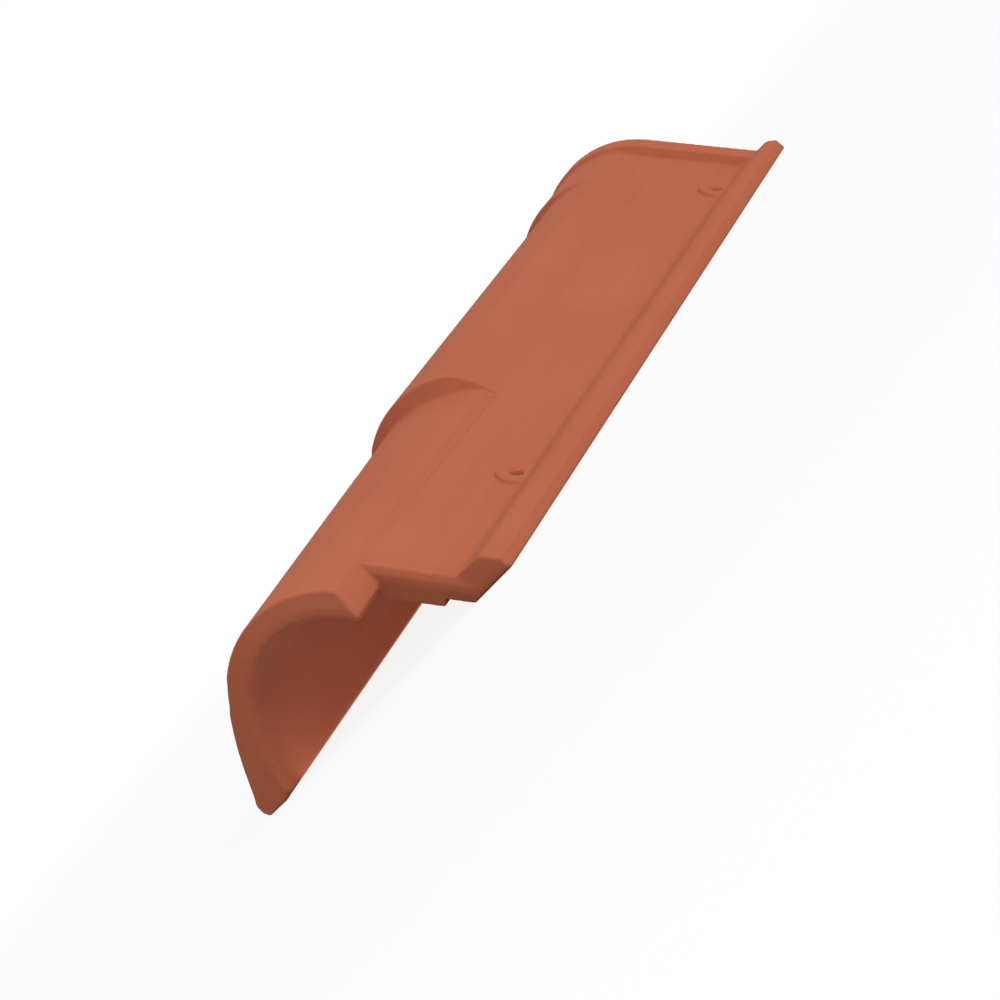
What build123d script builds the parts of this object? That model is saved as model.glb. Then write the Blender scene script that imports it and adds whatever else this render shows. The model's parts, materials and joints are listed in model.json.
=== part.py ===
import os
from math import atan2, degrees, sqrt

from build123d import *

os.makedirs("parts", exist_ok=True)

# Lengths along the tile, measured from the cut-back front of the pan
pan_length = 452.0
nose_reach = 24.5
step_at = 155.5
head_length = 57.0
rim_width = 12.0

# Wall of the barrel, spigot and leg
wall = 11.0

# Pan, from its left edge beside the spigot to the foot of the lip
pan_width = 37.2
pan_edge_drift = 4.3
pan_thickness = 9.8

# Rib under the front of the pan, stopping short of the lip
rib_end = 33.0
rib_depth = 3.2
rib_width = 10.0
rib_slope = 5.0

# Lip along the right edge, as runs and heights from its foot, rounded at its foot and brow
lip_height = 10.5
lip_wall_run = 8.1
lip_brow_fall = 0.9
lip_top_width = 8.4
lip_bevel_run = 4.5
lip_bevel_drop = 3.0
lip_heel_run = 7.0
lip_foot_radius = 10.0
lip_brow_radius = 10.0
lip_end_radius = 4.0

# The lip grows narrower on its inner side, at the collar and then at the far end
lip_draw_at_collar = 1.8
lip_draw_at_end = 3.9

# Barrel, in the order of its outer skin from the pan to the leg
barrel_start = 5.0
barrel_rise = 19.0
valley_radius = 8.0
rise_run = 4.2
crown_radius = 40.0
shoulder_radius = 13.0
shoulder_turn = 20.4
barrel_radius = 47.6
leg_turn = 4.5

# Foot of the leg, on the same line from end to end of the tile, with a blunt outer corner
foot_x = -33.4
foot_depth = 97.0
foot_width = 5.9
toe_run = 2.6
toe_rise = 0.6
toe_height = 3.8
knee_run = 6.1
knee_height = 7.1
foot_heel_run = 8.5
foot_heel_height = 12.0

# Spigot, tapering from the step to the nose, with a flank that falls towards the pan
spigot_axis_x = 3.5
spigot_top = 0.3
spigot_radius_at_step = 53.7
spigot_radius_at_nose = 47.3
spigot_ridge_x = -1.7
flank_run = 10.0
flank_drop_at_nose = 7.8
flank_drop_at_step = 3.5
flank_bulge = 0.8
nose_ridge_x = 5.0

# Head end: the collar bulges to the left, then the head falls to the foot of the rim
collar_turn = 12.6
head_start = -14.2
head_rise = 2.0
head_radius = 50.0
rim_height = 4.3
rim_axis_x = -9.0
rim_radius = 47.7

# Faces that lean back at the ends and steps, each a set-back along the tile over a height
step_lean = 3.6
step_lean_height = 7.0
collar_lean = 1.4
collar_lean_height = 3.0
rim_lean = 2.4
rim_lean_height = 3.4
nose_lean = 1.5
nose_lean_height = 6.4
nose_bevel = 2.0
pan_lean = 1.4
pan_lean_height = 2.8
pan_face_depth = 5.3
lip_lean_width = 7.8
lip_lean_radius = 0.5
lip_heel_bevel = 2.0

# How far the spigot runs on inside the barrel, the barrel inside the collar and both inside the pan
overrun = 8.0

# Nail holes in raised round collars, the near one set from the front and the far one from the rim's end
nail_hole_diameter = 5.6
boss_diameter = 17.6
boss_height = 1.8
boss_taper = 25.0
near_nail = (34.2, 86.3)
far_nail = (36.5, 47.7)

rim_at = pan_length - rim_width
collar_at = pan_length - head_length
nail_places = [near_nail, (far_nail[0], pan_length - far_nail[1])]
lip_brow = (pan_width + lip_wall_run, lip_height - lip_brow_fall)
lip_top_right = lip_brow[0] + lip_top_width
lip_edge = (lip_top_right + lip_bevel_run, lip_height - lip_bevel_drop)
lip_heel = (pan_width + lip_heel_run, -pan_thickness)
foot_outer = (foot_x, toe_height - foot_depth)
foot_toe = (foot_x + toe_run, toe_rise - foot_depth)
foot_inner = (foot_x + foot_width, -foot_depth)
flank_x = spigot_ridge_x + flank_run
leg_angle = 180 + leg_turn
leg_knee = (foot_inner[0] + knee_run, knee_height - foot_depth)
leg_inner = (foot_inner[0] + foot_heel_run, foot_heel_height - foot_depth)


# Plane across the tile, at a distance along it
def across(y):
    return Plane.XZ.offset(-y)


# One skin of the barrel wall, from the pan over the crown and round to the leg
def skin(start, offset, rise, turn, radius):
    valley = JernArc(start, (-1, 0), valley_radius + offset, -rise)
    slope = PolarLine(valley @ 1, rise_run, direction=valley % 1)
    crown = JernArc(slope @ 1, slope % 1, crown_radius - offset, rise)
    shoulder = JernArc(crown @ 1, crown % 1, shoulder_radius - offset, turn)
    return JernArc(shoulder @ 1, shoulder % 1, radius - offset, 90 - turn + leg_turn)


# Leg below both skins, with the slanted heel inside its foot
def leg(outer, inner, bevel=0):
    heel = (leg_inner[0] - bevel, leg_inner[1])
    knee = (leg_knee[0] - bevel / 2, leg_knee[1])
    TangentArc(outer @ 1, foot_outer, tangent=outer % 1)
    TangentArc(inner @ 1, heel, tangent=inner % 1)
    Polyline(foot_outer, foot_toe, foot_inner, knee, heel)


# Wall of the barrel or the head, trimmed on its outside where a face leans back
def barrel_section(y, start_x, rise, turn, radius, trim=0):
    right = barrel_start + overrun
    with BuildSketch(across(y)) as section:
        with BuildLine():
            outer = skin((start_x, -trim), trim, rise, turn, radius)
            inner = skin((start_x, -wall), wall, rise, turn, radius)
            leg(outer, inner)
            Polyline((start_x, -trim), (right, -trim), (right, -pan_thickness), (start_x, -wall))
        make_face()
    return section.sketch


# Wall of the spigot, with the flank between its ridge and the pan
def spigot_section(y, radius, ridge_x, flank_drop, lean_height=0, bevel=0):
    def height(x, depth):
        return spigot_top - radius + sqrt((radius - depth) ** 2 - (x - spigot_axis_x) ** 2)

    ridge = (ridge_x, height(ridge_x, lean_height))
    share = (flank_x - ridge_x) / flank_run
    flank_top = (flank_x, ridge[1] - share * flank_drop)
    flank_middle = ((ridge_x + flank_x) / 2, ridge[1] - share * (flank_drop / 2 - flank_bulge))
    flank_foot = (flank_x, height(flank_x, wall - bevel))
    centre = (spigot_axis_x, spigot_top - radius)
    ridge_angle = degrees(atan2(ridge[1] - centre[1], ridge[0] - centre[0]))
    foot_angle = degrees(atan2(flank_foot[1] - centre[1], flank_foot[0] - centre[0]))
    with BuildSketch(across(y)) as section:
        with BuildLine():
            outer = CenterArc(centre, radius - lean_height, ridge_angle, leg_angle - ridge_angle)
            inner = CenterArc(centre, radius - wall + bevel, foot_angle, leg_angle - foot_angle)
            leg(outer, inner, bevel)
            ThreePointArc(ridge, flank_middle, flank_top)
            Line(flank_top, flank_foot)
        make_face()
    return section.sketch


# Pan and lip as one closed outline, its lip drawn in and its front cut back above and below
def pan_section(y, left, foot_radius, brow_radius, draw=0, top=0, depth=pan_thickness, heel=0):
    lip_foot = (pan_width + draw, -top)
    brow = (lip_brow[0] + draw, lip_brow[1])
    heel_run = (lip_edge[0] - lip_heel[0]) / (lip_edge[1] - lip_heel[1])
    heel_x = lip_heel[0] + heel_run * (pan_thickness - depth) - heel
    with BuildSketch(across(y)) as section:
        with BuildLine():
            Polyline(
                (left, -top),
                lip_foot,
                brow,
                (lip_top_right, lip_height),
                (lip_edge[0] - heel, lip_edge[1]),
                (heel_x, -depth),
                (left, -depth),
                close=True,
            )
        make_face()
        fillet(section.vertices().sort_by_distance(lip_foot)[0], foot_radius)
        fillet(section.vertices().sort_by_distance(brow)[0], brow_radius)
    return section.sketch


# Raised rim across the far end, from the lip over to the foot
def rim_section(y, trim=0):
    centre = (rim_axis_x, rim_height - rim_radius)
    with BuildSketch(across(y)) as section:
        with BuildLine():
            outer = CenterArc(centre, rim_radius - trim, 90, leg_angle - 90)
            inner = CenterArc(centre, rim_radius - wall, 90, leg_angle - 90)
            leg(outer, inner)
            Polyline(
                outer @ 0,
                (lip_brow[0], rim_height - trim),
                (lip_brow[0], rim_height - wall),
                inner @ 0,
            )
        make_face()
    return section.sketch


with BuildPart() as spigot:
    nose_shape = (spigot_radius_at_nose, nose_ridge_x, flank_drop_at_nose)
    nose_face = spigot_section(-nose_reach, *nose_shape, nose_lean_height, nose_bevel)
    spigot_front = (spigot_radius_at_nose, spigot_ridge_x, flank_drop_at_nose)
    nose_full = spigot_section(nose_lean - nose_reach, *spigot_front)
    spigot_back = (spigot_radius_at_step, spigot_ridge_x, flank_drop_at_step)
    buried_end = spigot_section(step_at + overrun, *spigot_back)
    loft([nose_face, nose_full, buried_end], ruled=True)

with BuildPart() as pan:
    front_lean = (lip_lean_width, pan_lean_height, pan_face_depth, lip_heel_bevel)
    lip_draw_at_step = lip_draw_at_collar * step_at / collar_at
    long_lip = (pan_edge_drift, lip_foot_radius, lip_brow_radius)
    pan_front = pan_section(-pan_lean, 0, lip_end_radius, lip_lean_radius, *front_lean)
    pan_full = pan_section(0, 0, lip_end_radius, lip_end_radius)
    pan_at_step = pan_section(step_at, *long_lip, lip_draw_at_step)
    pan_at_collar = pan_section(collar_at, *long_lip, lip_draw_at_collar)
    pan_end = pan_section(pan_length, pan_edge_drift, lip_end_radius, lip_end_radius, lip_draw_at_end)
    loft([pan_front, pan_full], ruled=True)
    loft([pan_full, pan_at_step], ruled=True)
    loft([pan_at_step, pan_at_collar], ruled=True)
    loft([pan_at_collar, pan_end], ruled=True)

with BuildPart() as rib:
    with BuildSketch(Plane.YZ):
        with BuildLine():
            Polyline(
                (-pan_lean, -pan_face_depth),
                (0, -pan_thickness - rib_depth),
                (rib_width, -pan_thickness - rib_depth),
                (rib_width + rib_slope, -pan_thickness),
                (rib_width + rib_slope, -pan_face_depth),
                close=True,
            )
        make_face()
    extrude(amount=rib_end)

with BuildPart() as barrel:
    barrel_shape = (barrel_start, barrel_rise, shoulder_turn, barrel_radius)
    step_face = barrel_section(step_at, *barrel_shape, trim=step_lean_height)
    barrel_full = barrel_section(step_at + step_lean, *barrel_shape)
    loft([step_face, barrel_full], ruled=True)
    extrude(barrel_full, amount=step_at + step_lean - collar_at - overrun)

with BuildPart() as head:
    collar_shape = (barrel_start, barrel_rise, collar_turn, barrel_radius)
    collar_face = barrel_section(collar_at, *collar_shape, trim=collar_lean_height)
    collar_full = barrel_section(collar_at + collar_lean, *collar_shape)
    head_end = barrel_section(rim_at, head_start, head_rise, shoulder_turn, head_radius)
    loft([collar_face, collar_full, head_end], ruled=True)
    extrude(head_end, amount=-rim_width)

with BuildPart() as rim:
    loft([rim_section(rim_at, rim_lean_height), rim_section(rim_at + rim_lean)], ruled=True)
    extrude(rim_section(rim_at + rim_lean), amount=rim_lean - rim_width)

with BuildPart() as laid_tile:
    add([spigot.part, pan.part, rib.part, barrel.part, head.part, rim.part])
    with BuildSketch():
        with Locations(nail_places):
            Circle(boss_diameter / 2)
    extrude(amount=boss_height, taper=boss_taper)
    with Locations([(x, y, lip_height) for x, y in nail_places]):
        Hole(nail_hole_diameter / 2)

# The tile lies with its bend upwards, on the lowest corner of its leg and of its lip
def slope(leg_corner, lip_corner):
    return degrees(atan2(lip_corner[1] - leg_corner[1], lip_corner[0] - leg_corner[0]))


leg_corners = [foot_inner, leg_knee, leg_inner]
rest_turn = max(min(slope(corner, lip_edge), slope(corner, lip_heel)) for corner in leg_corners)
turned = Rot(0, rest_turn, 0) * laid_tile.part
box = turned.bounding_box()
verge_tile = Pos(-box.center().X, -box.center().Y, -box.min.Z) * turned
verge_tile.label = "verge_tile"
export_step(verge_tile, "parts/verge_tile.step")
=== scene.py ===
import json
import math

import bmesh
import bpy
from mathutils import Matrix, Vector


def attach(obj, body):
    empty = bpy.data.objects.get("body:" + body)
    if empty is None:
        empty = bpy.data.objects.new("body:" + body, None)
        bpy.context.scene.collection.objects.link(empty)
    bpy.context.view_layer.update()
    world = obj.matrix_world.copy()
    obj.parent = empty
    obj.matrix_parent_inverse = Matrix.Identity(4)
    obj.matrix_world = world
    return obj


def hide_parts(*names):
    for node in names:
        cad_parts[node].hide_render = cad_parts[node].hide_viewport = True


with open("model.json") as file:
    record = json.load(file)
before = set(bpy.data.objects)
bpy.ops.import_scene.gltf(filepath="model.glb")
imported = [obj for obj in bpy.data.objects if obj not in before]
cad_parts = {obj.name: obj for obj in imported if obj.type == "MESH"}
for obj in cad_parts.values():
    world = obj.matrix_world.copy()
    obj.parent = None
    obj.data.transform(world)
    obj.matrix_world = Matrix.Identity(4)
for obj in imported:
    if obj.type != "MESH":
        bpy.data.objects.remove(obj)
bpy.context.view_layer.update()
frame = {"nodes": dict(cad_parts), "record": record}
print("frame loaded:", sorted(frame["nodes"]))

# the near nail hole stands square to the pan, so it tells how the tile lies
mounts = {mount["name"]: mount for mount in frame["record"]["mounts"]}
nailPlaces = [Vector(mounts[name]["pos_m"]) for name in ("near_nail_hole", "far_nail_hole")]
panNormal = Vector(mounts["near_nail_hole"]["axis"])


# across, along and up from the near nail hole, as the tile sits on a roof
def makeRoofFrame():
    along = Vector((0, 1, 0))
    turn = Matrix((along.cross(panNormal), along, panNormal)).transposed()
    return Matrix.Translation(nailPlaces[0]) @ turn.to_4x4()


roofFrame = makeRoofFrame()
roofTurn = roofFrame.to_3x3()
toRoof = roofFrame.inverted()


def deselectAll():
    if bpy.context.mode != "OBJECT":
        bpy.ops.object.mode_set(mode="OBJECT")
    bpy.ops.object.select_all(action="DESELECT")


def makeActive(obj):
    deselectAll()
    obj.select_set(True)
    bpy.context.view_layer.objects.active = obj


# fired clay, sizes in metres
clay = {
    "base": (0.490, 0.135, 0.068, 1.0),
    "pale": (0.508, 0.144, 0.074, 1.0),
    "dark": (0.470, 0.127, 0.063, 1.0),
    "tintPlaces": (0.32, 0.50, 0.68),       # dark, base and pale on the firing mask
    "rubbed": (0.545, 0.165, 0.090, 1.0),   # arrises, where the skin is worn thin
    "rubShare": 0.15,
    "paintedHoleLight": (0.700, 0.250, 0.140, 1.0),    # painted light: paler clay that lightens the shade inside the nail holes
    "cloudSize": 0.070,                     # uneven firing
    "streakSize": 0.006,                    # drag of the press along the tile
    "streakLength": 25.0,                   # times its width
    "streakShare": 0.3,                     # of the firing mask, clouds are the rest
    "grainSize": 0.0009,                    # sandy skin
    "grainTint": 0.10,                      # grains this much darker and paler
    "grainDepth": 0.00006,
    "pitSize": 0.0050,                      # spacing of small pits
    "pitEdge": (0.03, 0.12),                # bottom and edge of a pit within its cell
    "pitDepth": 0.00010,
    "roughness": (0.78, 0.90),
    "specular": 0.1,
}


def newMaterial(name):
    mat = bpy.data.materials.new(name)
    mat.use_nodes = True
    mat.node_tree.nodes.clear()
    return mat, mat.node_tree.nodes, mat.node_tree.links


def newGroup(name, outputs):
    group = bpy.data.node_groups.new(name, "ShaderNodeTree")
    group.interface.new_socket(name="Vector", in_out="INPUT", socket_type="NodeSocketVector")
    for label in outputs:
        group.interface.new_socket(name=label, in_out="OUTPUT", socket_type="NodeSocketFloat")
    return group, group.nodes.new("NodeGroupInput"), group.nodes.new("NodeGroupOutput")


def addGroup(nodes, links, tree, vector):
    node = nodes.new("ShaderNodeGroup")
    node.node_tree = tree
    links.new(vector, node.inputs["Vector"])
    return node


# a plain value is set on its socket, anything else is linked to it
def feed(links, socket, value):
    if isinstance(value, (int, float, tuple)):
        socket.default_value = value
    else:
        links.new(value, socket)


def addNoise(nodes, links, vector, size, detail, roughness):
    noise = nodes.new("ShaderNodeTexNoise")
    noise.inputs["Scale"].default_value = 1.0 / size
    noise.inputs["Detail"].default_value = detail
    noise.inputs["Roughness"].default_value = roughness
    links.new(vector, noise.inputs["Vector"])
    return noise.outputs["Fac"]


def addMath(nodes, links, operation, first, second):
    node = nodes.new("ShaderNodeMath")
    node.operation = operation
    feed(links, node.inputs[0], first)
    feed(links, node.inputs[1], second)
    return node.outputs[0]


def addMix(nodes, links, blend, share, first, second):
    mix = nodes.new("ShaderNodeMix")
    mix.data_type = "RGBA"
    mix.blend_type = blend
    feed(links, mix.inputs[0], share)
    feed(links, mix.inputs[6], first)      # the two colours
    feed(links, mix.inputs[7], second)
    return mix.outputs[2]


def addRange(nodes, links, value, low, high):
    node = nodes.new("ShaderNodeMapRange")
    node.inputs["To Min"].default_value = low
    node.inputs["To Max"].default_value = high
    links.new(value, node.inputs["Value"])
    return node.outputs["Result"]


# the same, with a soft start and end between two values
def addSoftRange(nodes, links, value, ends, low, high):
    result = addRange(nodes, links, value, low, high)
    result.node.interpolation_type = "SMOOTHSTEP"
    result.node.inputs["From Min"].default_value = ends[0]
    result.node.inputs["From Max"].default_value = ends[1]
    return result


def addAttribute(nodes, name):
    node = nodes.new("ShaderNodeAttribute")
    node.attribute_name = name
    return node.outputs["Fac"]


# clouds of firing and streaks of the press, as one mask from 0 to 1
def makeFiringGroup():
    group, gIn, gOut = newGroup("unevenFiring", ["Mask"])
    nodes, links = group.nodes, group.links
    vector = gIn.outputs["Vector"]
    cloud = addNoise(nodes, links, vector, clay["cloudSize"], detail=3.0, roughness=0.5)
    stretch = nodes.new("ShaderNodeMapping")
    stretch.inputs["Scale"].default_value = (1.0, 1.0 / clay["streakLength"], 1.0)
    links.new(vector, stretch.inputs["Vector"])
    drag = stretch.outputs["Vector"]
    streak = addNoise(nodes, links, drag, clay["streakSize"], detail=2.0, roughness=0.5)
    streakPart = addMath(nodes, links, "MULTIPLY", streak, clay["streakShare"])
    cloudPart = addMath(nodes, links, "MULTIPLY", cloud, 1.0 - clay["streakShare"])
    links.new(addMath(nodes, links, "ADD", cloudPart, streakPart), gOut.inputs["Mask"])
    return group


# sandy grain and scattered pits, with their height in metres
def makeSkinGroup():
    group, gIn, gOut = newGroup("sandySkin", ["Grain", "Height"])
    nodes, links = group.nodes, group.links
    vector = gIn.outputs["Vector"]
    grain = addNoise(nodes, links, vector, clay["grainSize"], detail=2.0, roughness=0.6)
    cells = nodes.new("ShaderNodeTexVoronoi")
    cells.inputs["Scale"].default_value = 1.0 / clay["pitSize"]
    links.new(vector, cells.inputs["Vector"])
    pit = addSoftRange(nodes, links, cells.outputs["Distance"], clay["pitEdge"], -clay["pitDepth"], 0.0)
    sand = addMath(nodes, links, "MULTIPLY", grain, clay["grainDepth"])
    links.new(grain, gOut.inputs["Grain"])
    links.new(addMath(nodes, links, "ADD", sand, pit), gOut.inputs["Height"])
    return group


# hard-fired, middle and pale clay
def addTint(nodes, links, mask):
    tint = nodes.new("ShaderNodeValToRGB")
    first, last = tint.color_ramp.elements
    first.position, middlePlace, last.position = clay["tintPlaces"]
    first.color = clay["dark"]
    last.color = clay["pale"]
    tint.color_ramp.elements.new(middlePlace).color = clay["base"]
    links.new(mask, tint.inputs["Fac"])
    return tint.outputs["Color"]


def makeClay():
    mat, nodes, links = newMaterial("firedClay")
    out = nodes.new("ShaderNodeOutputMaterial")
    bsdf = nodes.new("ShaderNodeBsdfPrincipled")
    bsdf.inputs["Specular IOR Level"].default_value = clay["specular"]
    links.new(bsdf.outputs["BSDF"], out.inputs["Surface"])
    place = nodes.new("ShaderNodeTexCoord").outputs["Object"]
    firing = addGroup(nodes, links, makeFiringGroup(), place)
    skin = addGroup(nodes, links, makeSkinGroup(), place)
    grain = skin.outputs["Grain"]

    tint = addTint(nodes, links, firing.outputs["Mask"])
    speck = addRange(nodes, links, grain, 1.0 - clay["grainTint"], 1.0 + clay["grainTint"])
    speckled = addMix(nodes, links, "MULTIPLY", 1.0, tint, speck)
    rub = addMath(nodes, links, "MULTIPLY", addAttribute(nodes, "arris"), clay["rubShare"])
    rubbed = addMix(nodes, links, "MIX", rub, speckled, clay["rubbed"])
    # painted light: the shaded insides of the nail holes are coloured paler
    paintedHoleLight = addMix(nodes, links, "MIX", addAttribute(nodes, "paintedHoleLightMask"), rubbed, clay["paintedHoleLight"])
    links.new(paintedHoleLight, bsdf.inputs["Base Color"])

    links.new(addRange(nodes, links, grain, *clay["roughness"]), bsdf.inputs["Roughness"])
    bump = nodes.new("ShaderNodeBump")
    bump.inputs["Distance"].default_value = 1.0      # the height is in metres already
    links.new(skin.outputs["Height"], bump.inputs["Height"])
    links.new(bump.outputs["Normal"], bsdf.inputs["Normal"])
    return mat


clayMat = makeClay()
print("clay material made")

# the tile, a copy of the solid with its skins evened and its arrises softened
# metres and degrees; the seam's sides, ends and height are from the near nail hole
tile = {
    "mergeGap": 0.00001,
    "alongTile": 0.9,                   # least run along Y of an edge that goes along the tile
    "acrossTile": 0.001,                # most run along Y of one that goes across it
    "alongHole": 0.99,                  # least run along a nail hole of the hole's facets
    "crossAngle": 6.0,                  # arrises that go across the tile
    "longAngle": 20.0,                  # and the others, above the facets of a round skin
    "voxel": 0.0006,
    "skinStart": 0.0008,                # from an arris, where evening of the skin begins
    "skinFull": 0.0040,
    "skinSteps": 40,
    "arrisSteps": 2,
    "rubReach": 0.0012,                 # of the rubbed line, to each side
    "seamSides": (-0.0365, -0.0275),    # soft seam between the pan and the spigot
    "seamEnds": (-0.0860, 0.0690),
    "seamAbove": 0.002,
    "seamAngle": 60.0,                  # at the foot of the pan's edge
    "seamShift": 0.0012,                # of the groove, towards the spigot
    "seamReach": 0.0034,                # of the groove, to each side
    "seamDepth": 0.0006,
    "boreRadius": 0.0029,
    "mouthRadius": 0.0042,
    "mouthSteps": 8,
    "mostTriangles": 190000,
}


def applyModifiers(obj):
    makeActive(obj)
    for mod in list(obj.modifiers):
        bpy.ops.object.modifier_apply(modifier=mod.name)


def copyActive(source, name):
    makeActive(source)
    bpy.ops.object.duplicate()
    copy = bpy.context.view_layer.objects.active
    copy.name = name
    return copy


def edgeRun(edge):
    return (edge.verts[1].co - edge.verts[0].co).normalized()


def sharperThan(edge, angle):
    return len(edge.link_faces) == 2 and edge.calc_face_angle() > math.radians(angle)


def nearSeam(point):
    left, right = tile["seamSides"]
    front, back = tile["seamEnds"]
    place = toRoof @ point
    return left < place.x < right and front < place.y < back and place.z > tile["seamAbove"]


# edges of the low step between pan and spigot
def isSeam(edge):
    middle = (edge.verts[0].co + edge.verts[1].co) / 2
    return abs(edgeRun(edge).y) > tile["alongTile"] and nearSeam(middle)


def isSeamFoot(edge):
    return isSeam(edge) and not edge.is_convex and sharperThan(edge, tile["seamAngle"])


# facets of a nail hole and the soft seam are no arrises
def isArris(edge):
    run = edgeRun(edge)
    if abs(run.dot(panNormal)) > tile["alongHole"] or isSeam(edge):
        return False
    goesAcross = abs(run.y) < tile["acrossTile"]
    return sharperThan(edge, tile["crossAngle"] if goesAcross else tile["longAngle"])


def isRubbed(edge):
    return isArris(edge) and edge.is_convex


# the wanted edges alone, as loose edges
def makeGuide(body, name, wanted):
    guide = copyActive(body, name)
    bpy.ops.object.mode_set(mode="EDIT")
    bpy.ops.mesh.select_mode(type="EDGE")
    bpy.ops.mesh.select_all(action="DESELECT")
    mesh = bmesh.from_edit_mesh(guide.data)
    for edge in mesh.edges:
        edge.select_set(not wanted(edge))
    bmesh.update_edit_mesh(guide.data)
    bpy.ops.mesh.delete(type="EDGE")
    bpy.ops.object.mode_set(mode="OBJECT")
    print(name + ":", len(guide.data.edges), "edges")
    return guide


# how far a point is from the line through the nearer nail hole
def boreDistance(point):
    return min((point - place).cross(panNormal).length for place in nailPlaces)


def nearMouth(point):
    return boreDistance(point) < tile["mouthRadius"]


def addGroupWhere(obj, name, test):
    group = obj.vertex_groups.new(name=name)
    group.add([vertex.index for vertex in obj.data.vertices if test(vertex.co)], 1.0, "REPLACE")


def addGroupOfAll(obj, name):
    group = obj.vertex_groups.new(name=name)
    group.add(range(len(obj.data.vertices)), 1.0, "REPLACE")


# weights by the distance from a guide, from none to full
def addDistance(obj, guide, group, noneAt, fullAt):
    weigh = obj.modifiers.new(group + "Distance", "VERTEX_WEIGHT_PROXIMITY")
    weigh.vertex_group = group
    weigh.target = guide
    weigh.proximity_mode = "GEOMETRY"
    weigh.proximity_geometry = {"EDGE"}
    weigh.min_dist = noneAt
    weigh.max_dist = fullAt


def addSmooth(obj, name, steps, group=""):
    smooth = obj.modifiers.new(name, "SMOOTH")
    smooth.vertex_group = group
    smooth.iterations = steps


def copySolid():
    piece = copyActive(frame["nodes"]["verge_tile"], "vergeTile")
    piece.parent = None
    for key in list(piece.keys()):      # the frame's own marks stay with the solid
        del piece[key]
    bpy.ops.object.mode_set(mode="EDIT")
    bpy.ops.mesh.select_all(action="SELECT")
    bpy.ops.mesh.remove_doubles(threshold=tile["mergeGap"])
    bpy.ops.object.mode_set(mode="OBJECT")
    return piece


def makeSeamGuide(piece):
    guide = makeGuide(piece, "seamGuide", isSeamFoot)
    guide.data.transform(Matrix.Translation(roofTurn @ Vector((-tile["seamShift"], 0, 0))))
    return guide


# an even mesh, fine enough to round the arrises
def fillBody(piece):
    remesh = piece.modifiers.new("clayBody", "REMESH")
    remesh.mode = "VOXEL"
    remesh.voxel_size = tile["voxel"]
    applyModifiers(piece)


def shapeBody(piece, arrisGuide, seamGuide):
    addGroupOfAll(piece, "skin")
    addDistance(piece, arrisGuide, "skin", noneAt=tile["skinStart"], fullAt=tile["skinFull"])
    addSmooth(piece, "evenSkins", tile["skinSteps"], "skin")
    addGroupWhere(piece, "seam", nearSeam)
    addDistance(piece, seamGuide, "seam", noneAt=tile["seamReach"], fullAt=0.0)
    groove = piece.modifiers.new("seamGroove", "DISPLACE")
    groove.vertex_group = "seam"
    groove.mid_level = 0.0
    groove.strength = -tile["seamDepth"]
    addSmooth(piece, "softArrises", tile["arrisSteps"])
    addGroupWhere(piece, "mouth", nearMouth)
    addSmooth(piece, "softMouths", tile["mouthSteps"], "mouth")
    thin = piece.modifiers.new("fewerFaces", "DECIMATE")
    thin.ratio = min(1.0, tile["mostTriangles"] / (2 * len(piece.data.polygons)))
    applyModifiers(piece)
    piece.vertex_groups.clear()


# the clay reads where the arrises are, and where light is painted into the nail holes, from attributes of
# the mesh
def markWear(piece, rubGuide):
    addGroupOfAll(piece, "nearArris")
    addDistance(piece, rubGuide, "nearArris", noneAt=tile["rubReach"], fullAt=0.0)
    applyModifiers(piece)
    vertices = piece.data.vertices
    weights = [vertex.groups[0].weight for vertex in vertices]
    # painted light mask: 1 inside the nail holes, where their shade is lightened
    paintedHoleLightWeights = [float(boreDistance(vertex.co) < tile["boreRadius"]) for vertex in vertices]
    piece.vertex_groups.clear()
    piece.data.attributes.new("arris", "FLOAT", "POINT").data.foreach_set("value", weights)
    piece.data.attributes.new("paintedHoleLightMask", "FLOAT", "POINT").data.foreach_set("value", paintedHoleLightWeights)


def makeTile():
    piece = copySolid()
    arrisGuide = makeGuide(piece, "arrisGuide", isArris)
    rubGuide = makeGuide(piece, "rubGuide", isRubbed)
    seamGuide = makeSeamGuide(piece)
    fillBody(piece)
    shapeBody(piece, arrisGuide, seamGuide)
    markWear(piece, rubGuide)
    for guide in (arrisGuide, rubGuide, seamGuide):
        bpy.data.objects.remove(guide)
    makeActive(piece)
    bpy.ops.object.shade_smooth()
    piece.data.materials.clear()
    piece.data.materials.append(clayMat)
    return piece


vergeTile = makeTile()
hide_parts("verge_tile")
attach(vergeTile, "root")
print("tile made:", len(vergeTile.data.polygons), "faces")

# floor, white to the camera with a faint shadow
floorLook = {
    "size": 60.0,
    "colour": (0.90, 0.90, 0.90, 1.0),
    "bounce": (0.50, 0.50, 0.50, 1.0),    # colour of the light that it throws back
    "white": (1.0, 1.0, 1.0, 1.0),
    "shadowShare": 0.12,                  # of what the camera sees, close to the tile
    "shadowReach": (0.30, 1.00),          # where that share starts and ends fading
}


# 1 for the rays that should meet a white surrounding
def addWhiteRays(nodes, links):
    path = nodes.new("ShaderNodeLightPath")
    seen = addMath(nodes, links, "MAXIMUM", path.outputs["Is Camera Ray"], path.outputs["Is Glossy Ray"])
    return addMath(nodes, links, "MAXIMUM", seen, path.outputs["Is Transmission Ray"])


def addShaderMix(nodes, links, share, first, second):
    mix = nodes.new("ShaderNodeMixShader")
    for socket, source in zip(mix.inputs, (share, first, second)):
        links.new(source, socket)
    return mix.outputs[0]


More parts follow.
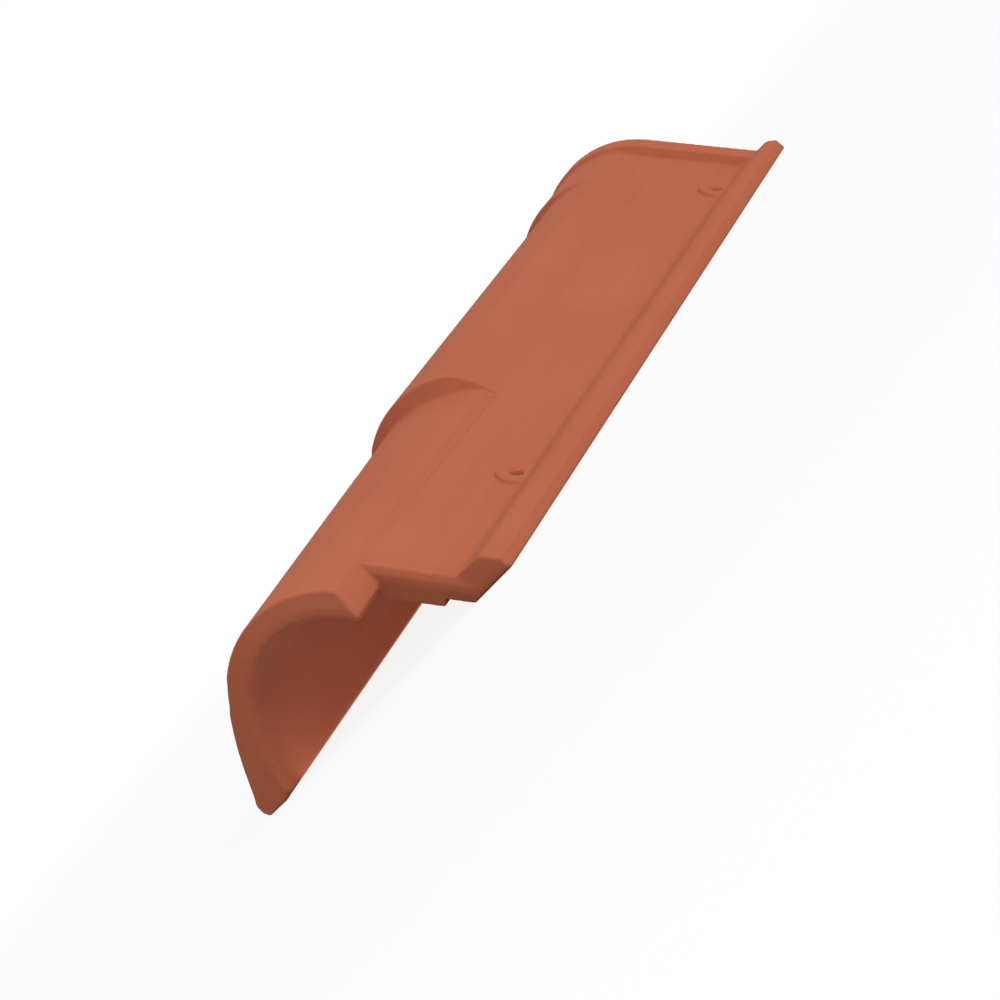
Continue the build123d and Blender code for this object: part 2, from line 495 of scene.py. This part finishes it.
def makeFloorMat():
    mat, nodes, links = newMaterial("paleFloor")
    out = nodes.new("ShaderNodeOutputMaterial")
    whiteRays = addWhiteRays(nodes, links)
    matt = nodes.new("ShaderNodeBsdfDiffuse")
    colour = addMix(nodes, links, "MIX", whiteRays, floorLook["bounce"], floorLook["colour"])
    links.new(colour, matt.inputs["Color"])
    white = nodes.new("ShaderNodeEmission")
    white.inputs["Color"].default_value = floorLook["white"]
    white.inputs["Strength"].default_value = 1.0
    reach = nodes.new("ShaderNodeVectorMath")
    reach.operation = "LENGTH"
    links.new(nodes.new("ShaderNodeTexCoord").outputs["Object"], reach.inputs[0])
    closeBy = 1.0 - floorLook["shadowShare"]
    plain = addSoftRange(nodes, links, reach.outputs["Value"], floorLook["shadowReach"], closeBy, 1.0)
    share = addMath(nodes, links, "MULTIPLY", whiteRays, plain)
    links.new(addShaderMix(nodes, links, share, matt.outputs[0], white.outputs[0]), out.inputs["Surface"])
    return mat


def makeFloor():
    deselectAll()
    bpy.ops.mesh.primitive_plane_add(size=floorLook["size"], location=(0, 0, 0))
    floor = bpy.context.active_object
    floor.name = "studioFloor"
    floor.data.materials.append(makeFloorMat())


makeFloor()
print("floor made")

# soft studio light, strongest nearly square to the pan; metres, watts and degrees
lights = {
    "worldColour": (1.0, 1.0, 1.0, 1.0),
    "worldStrength": 0.58,
    "panLamp": {"power": 191.0, "size": 5.0, "distance": 6.0, "towardsLip": 14.0, "towardsNose": 7.0},
    "hollowLamp": {"power": 0.048, "width": 0.05, "length": 0.46, "place": (-0.036, 0.002, 0.0004)},
}


def addBackground(nodes, strength):
    background = nodes.new("ShaderNodeBackground")
    background.inputs["Color"].default_value = lights["worldColour"]
    background.inputs["Strength"].default_value = strength
    return background.outputs[0]


def makeWorld():
    world = bpy.data.worlds.new("studioWorld")
    bpy.context.scene.world = world
    world.use_nodes = True
    nodes, links = world.node_tree.nodes, world.node_tree.links
    nodes.clear()
    out = nodes.new("ShaderNodeOutputWorld")
    dome = addBackground(nodes, lights["worldStrength"])
    white = addBackground(nodes, 1.0)
    links.new(addShaderMix(nodes, links, addWhiteRays(nodes, links), dome, white), out.inputs["Surface"])


def addLamp(name, shape, power, place):
    deselectAll()
    bpy.ops.object.light_add(type="AREA", location=place)
    lamp = bpy.context.active_object
    lamp.name = name
    lamp.data.shape = shape
    lamp.data.energy = power
    lamp.visible_camera = False
    return lamp


def makePanLamp():
    values = lights["panLamp"]
    leanX = math.tan(math.radians(values["towardsLip"]))
    leanY = -math.tan(math.radians(values["towardsNose"]))
    place = roofTurn @ Vector((leanX, leanY, 1)).normalized() * values["distance"]
    lamp = addLamp("panLamp", "DISK", values["power"], place)
    lamp.data.size = values["size"]
    lamp.rotation_euler = place.to_track_quat("Z", "Y").to_euler()


# stands for light that open ground would throw back under the tile
def makeHollowLamp():
    values = lights["hollowLamp"]
    lamp = addLamp("hollowLamp", "RECTANGLE", values["power"], values["place"])
    lamp.data.size = values["width"]
    lamp.data.size_y = values["length"]
    lamp.rotation_euler = (0, math.pi, 0)      # faces up


makeWorld()
makePanLamp()
makeHollowLamp()
print("lights made")

# camera, placed from the near nail hole as if the tile lay on its roof; metres, degrees and millimetres
view = {
    "place": (0.31950, -1.08609, 0.54677),
    "azimuth": 16.72,
    "elevation": 26.04,
    "lens": 119.0,
    "sensor": 36.0,
    "clipEnd": 200.0,
}


def makeCamera():
    deselectAll()
    bpy.ops.object.camera_add()
    camera = bpy.context.active_object
    camera.name = "photoCamera"
    pan = Matrix.Rotation(math.radians(view["azimuth"]), 4, "Z")
    tilt = Matrix.Rotation(math.radians(90 - view["elevation"]), 4, "X")
    camera.matrix_world = roofFrame @ Matrix.Translation(Vector(view["place"])) @ pan @ tilt
    camera.data.sensor_width = view["sensor"]
    camera.data.lens = view["lens"]
    camera.data.clip_end = view["clipEnd"]
    bpy.context.scene.camera = camera


makeCamera()
bpy.context.scene.view_settings.view_transform = "Standard"
print("camera set")
